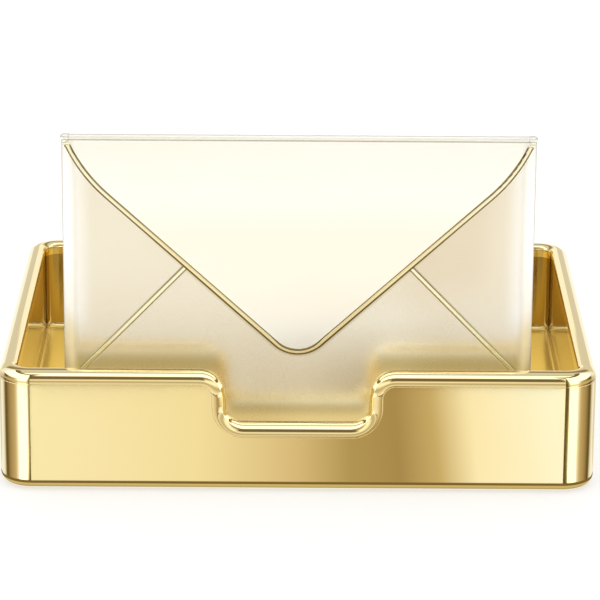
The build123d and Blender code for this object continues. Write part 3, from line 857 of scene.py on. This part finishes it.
def build_front_panel():
    """The strip of desk in front of the tray, with a dark line at its foot and a dark edge far out."""
    bpy.ops.mesh.primitive_plane_add(size=1.0)
    panel = bpy.context.object
    half = half_tray - CORNER_RADIUS * MM
    for vertex in panel.data.vertices:
        gap = FRONT_PANEL_FAR * MM if vertex.co.y < 0 else FRONT_PANEL_NEAR * MM
        width = half + (CORNER_RADIUS * MM + gap) * sin(radians(SCREEN_START))
        x = width if vertex.co.x > 0 else -width
        vertex.co = Vector((x, front_y - gap, JUST_ABOVE_DESK * MM))
    tree, glow, place = start_panel(panel, "front_panel")
    across, away, _ = axes(tree, place)
    colour = ramp(tree, calc(tree, "DIVIDE", across, MM), front_panel_colours)
    gap = calc(tree, "DIVIDE", calc(tree, "SUBTRACT", front_y, away), MM)
    foot = ease(tree, gap, 8, 12, 1.0, 0.0)
    colour = mix_colour(tree, foot, colour, shade(FOOT_DARK))
    edge = ease(tree, gap, 1.8, 2.6, 1.0, 0.0)
    colour = mix_colour(tree, edge, colour, shade(LIP_TAN))
    under = ease(tree, gap, -2.5, -1.0, 1.0, 0.0)
    colour = mix_colour(tree, under, colour, shade(LIP_OLIVE))
    far = ease(tree, gap, 174, 182)
    colour = mix_colour(tree, far, colour, shade(FLAG))
    finish_panel(panel, tree, glow, colour)


# Gold light inside the front wall, which the foot of the envelope mirrors: it drops at the notch, in mm
FILL_GAP = 5.0
FILL_FOOT = 8.0
FILL_TOP = 69.0
FILL_NOTCH = 39.0
fill_outline = (
    (-146, FILL_TOP),
    (-45, FILL_TOP),
    (-44, FILL_NOTCH),
    (44, FILL_NOTCH),
    (45, FILL_TOP),
    (146, FILL_TOP),
)
# colour by the depth below the top of the wall, in mm
fill_colours = (
    (0, (0.98, 0.93, 0.83)),
    (2, (0.76, 0.67, 0.46)),
    (6, (0.49, 0.39, 0.18)),
    (12, (0.51, 0.40, 0.17)),
    (16, (0.84, 0.66, 0.31)),
    (30, (0.80, 0.62, 0.30)),
    (62, (0.60, 0.45, 0.20)),
)


def build_inner_fill():
    """A strip along the inside of the front wall, in bands of gold."""
    low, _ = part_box("inner_liner")
    strips = len(fill_outline) - 1
    bpy.ops.mesh.primitive_grid_add(x_subdivisions=strips, y_subdivisions=1, size=1.0)
    fill = bpy.context.object
    for vertex in fill.data.vertices:
        across, top = fill_outline[round((vertex.co.x + 0.5) * strips)]
        height = top if vertex.co.y > 0 else FILL_FOOT
        vertex.co = Vector((across * MM, low.y + FILL_GAP * MM, height * MM))
    tree, glow, place = start_panel(fill, "inner_fill")
    across, _, up = axes(tree, place)
    at_side = ease(tree, calc(tree, "ABSOLUTE", across), 36 * MM, 46 * MM)
    top = calc(tree, "MULTIPLY_ADD", at_side, FILL_TOP - FILL_NOTCH, FILL_NOTCH)
    depth = calc(tree, "SUBTRACT", top, calc(tree, "DIVIDE", up, MM))
    # the bands lie closer together under the notch
    depth = calc(tree, "MULTIPLY", depth, calc(tree, "MULTIPLY_ADD", at_side, -0.7, 1.7))
    finish_panel(fill, tree, glow, ramp(tree, depth, fill_colours))


# Gold light over the rear of the tray's floor, in mm: it slopes up to the front, and only the floor
# mirrors it
GLOW_LOW, GLOW_HIGH = 18.0, 34.0
GLOW_DEPTH = 115.0
GLOW_FADE = 70.0
GLOW_GOLD = (0.86, 0.63, 0.24)
GLOW_DEEP = (0.66, 0.47, 0.17)


def build_floor_glow():
    """A one-sided panel: the walls' reflections come from above and pass through it."""
    _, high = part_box("inner_liner")
    bpy.ops.mesh.primitive_plane_add(size=1.0)
    panel = bpy.context.object
    reach = high.x - FILL_GAP * MM
    back = high.y - FILL_GAP * MM
    for vertex in panel.data.vertices:
        front = vertex.co.y > 0
        y = back - GLOW_DEPTH * MM if front else back
        height = GLOW_HIGH if front else GLOW_LOW
        vertex.co = Vector((2 * vertex.co.x * reach, y, height * MM))
    tree, glow, place = start_panel(panel, "floor_glow")
    _, away, _ = axes(tree, place)
    share = ease(tree, away, back - GLOW_FADE * MM, back)
    clear = tree.nodes.new("ShaderNodeBsdfTransparent")
    behind = tree.nodes.new("ShaderNodeNewGeometry").outputs["Backfacing"]
    mixed = add_node(tree, "ShaderNodeMixShader", behind)
    tree.links.new(glow.outputs[0], mixed.inputs[1])
    tree.links.new(clear.outputs[0], mixed.inputs[2])
    tree.links.new(mixed.outputs[0], tree.nodes["Material Output"].inputs[0])
    finish_panel(panel, tree, glow, mix_colour(tree, share, shade(GLOW_GOLD), shade(GLOW_DEEP)))


# Screen behind the tray that the rims of its two sides mirror, in mm
BACK_SCREEN_PLACE = 450.0
BACK_SCREEN_REACH = 420.0
BACK_SCREEN_LOW, BACK_SCREEN_HIGH = -120.0, 245.0


def build_back_screen():
    """A white wall, greyer at its upper corners and deep in the middle below the desk's top."""
    bpy.ops.mesh.primitive_plane_add(size=1.0)
    screen = bpy.context.object
    for vertex in screen.data.vertices:
        height = BACK_SCREEN_HIGH if vertex.co.y > 0 else BACK_SCREEN_LOW
        vertex.co = Vector((2 * vertex.co.x * BACK_SCREEN_REACH, BACK_SCREEN_PLACE, height)) * MM
    tree, glow, place = start_panel(screen, "back_screen")
    across, _, up = axes(tree, place)
    reach = calc(tree, "DIVIDE", calc(tree, "ABSOLUTE", across), MM)
    height = calc(tree, "DIVIDE", up, MM)
    corner = both(tree, ease(tree, reach, 188, 204), ease(tree, height, 96, 110))
    colour = mix_colour(tree, corner, shade((1.08, 1.06, 1.04)), shade((0.72, 0.70, 0.68)))
    # only the tray's back mirrors the deep middle
    middle = both(tree, ease(tree, reach, 40, 105, 0.7, 0.0), ease(tree, height, -60, -15, 1.0, 0.0))
    colour = mix_colour(tree, middle, colour, shade(ROOM_TAN))
    finish_panel(screen, tree, glow, colour)


FLOOR_PAINT = rgb(0.50, 0.50, 0.50)
FLOOR_WHITE = 0.57


def build_floor():
    """Pale studio floor: white to the camera, with the tray's shadow on it."""
    bpy.ops.mesh.primitive_plane_add(size=8.0)
    floor = bpy.context.object
    floor.name = "studio_floor"
    material = bpy.data.materials.new("studio_floor")
    material.use_nodes = True
    tree = material.node_tree
    tree.nodes.clear()
    paint = add_node(tree, "ShaderNodeBsdfDiffuse", FLOOR_PAINT)
    path = tree.nodes.new("ShaderNodeLightPath").outputs
    seen = either(tree, path["Is Camera Ray"], path["Is Glossy Ray"])
    seen = either(tree, seen, path["Is Transmission Ray"])
    glow = add_node(tree, "ShaderNodeEmission", None, calc(tree, "MULTIPLY", seen, FLOOR_WHITE))
    total = add_node(tree, "ShaderNodeAddShader")
    tree.links.new(paint.outputs[0], total.inputs[0])
    tree.links.new(glow.outputs[0], total.inputs[1])
    output = tree.nodes.new("ShaderNodeOutputMaterial")
    tree.links.new(total.outputs[0], output.inputs[0])
    material.cycles.emission_sampling = "NONE"
    floor.data.materials.append(material)
    floor.visible_glossy = False


def build_world():
    """White light from all round."""
    world = bpy.data.worlds.new("studio")
    world.use_nodes = True
    background = world.node_tree.nodes["Background"]
    background.inputs["Color"].default_value = WHITE_TENT
    background.inputs["Strength"].default_value = 1.0
    bpy.context.scene.world = world


def build_camera():
    """Camera at the photograph's angle: it looks down and a hair to one side, and is a hair off level."""
    forward = Vector(
        (
            sin(CAMERA_YAW) * cos(CAMERA_ELEVATION),
            cos(CAMERA_YAW) * cos(CAMERA_ELEVATION),
            -sin(CAMERA_ELEVATION),
        )
    )
    level = forward.cross(Vector((0, 0, 1))).normalized()
    upright = level.cross(forward)
    right = cos(CAMERA_ROLL) * level + sin(CAMERA_ROLL) * upright
    up = cos(CAMERA_ROLL) * upright - sin(CAMERA_ROLL) * level
    data = bpy.data.cameras.new("camera")
    data.sensor_width = SENSOR_MM
    data.lens = SENSOR_MM * FOCAL_PIXELS / IMAGE_SIZE
    data.clip_end = 100.0
    camera = bpy.data.objects.new("camera", data)
    bpy.context.scene.collection.objects.link(camera)
    place = Matrix((right, up, -forward)).transposed().to_4x4()
    place.translation = CAMERA_TARGET - CAMERA_DISTANCE * forward
    camera.matrix_world = place
    bpy.context.scene.camera = camera


build_studio_dome()
build_corner_screen(-1)
build_corner_screen(1)
build_front_panel()
build_inner_fill()
build_floor_glow()
build_back_screen()
build_floor()
build_world()
build_camera()
bpy.context.scene.view_settings.view_transform = "Standard"
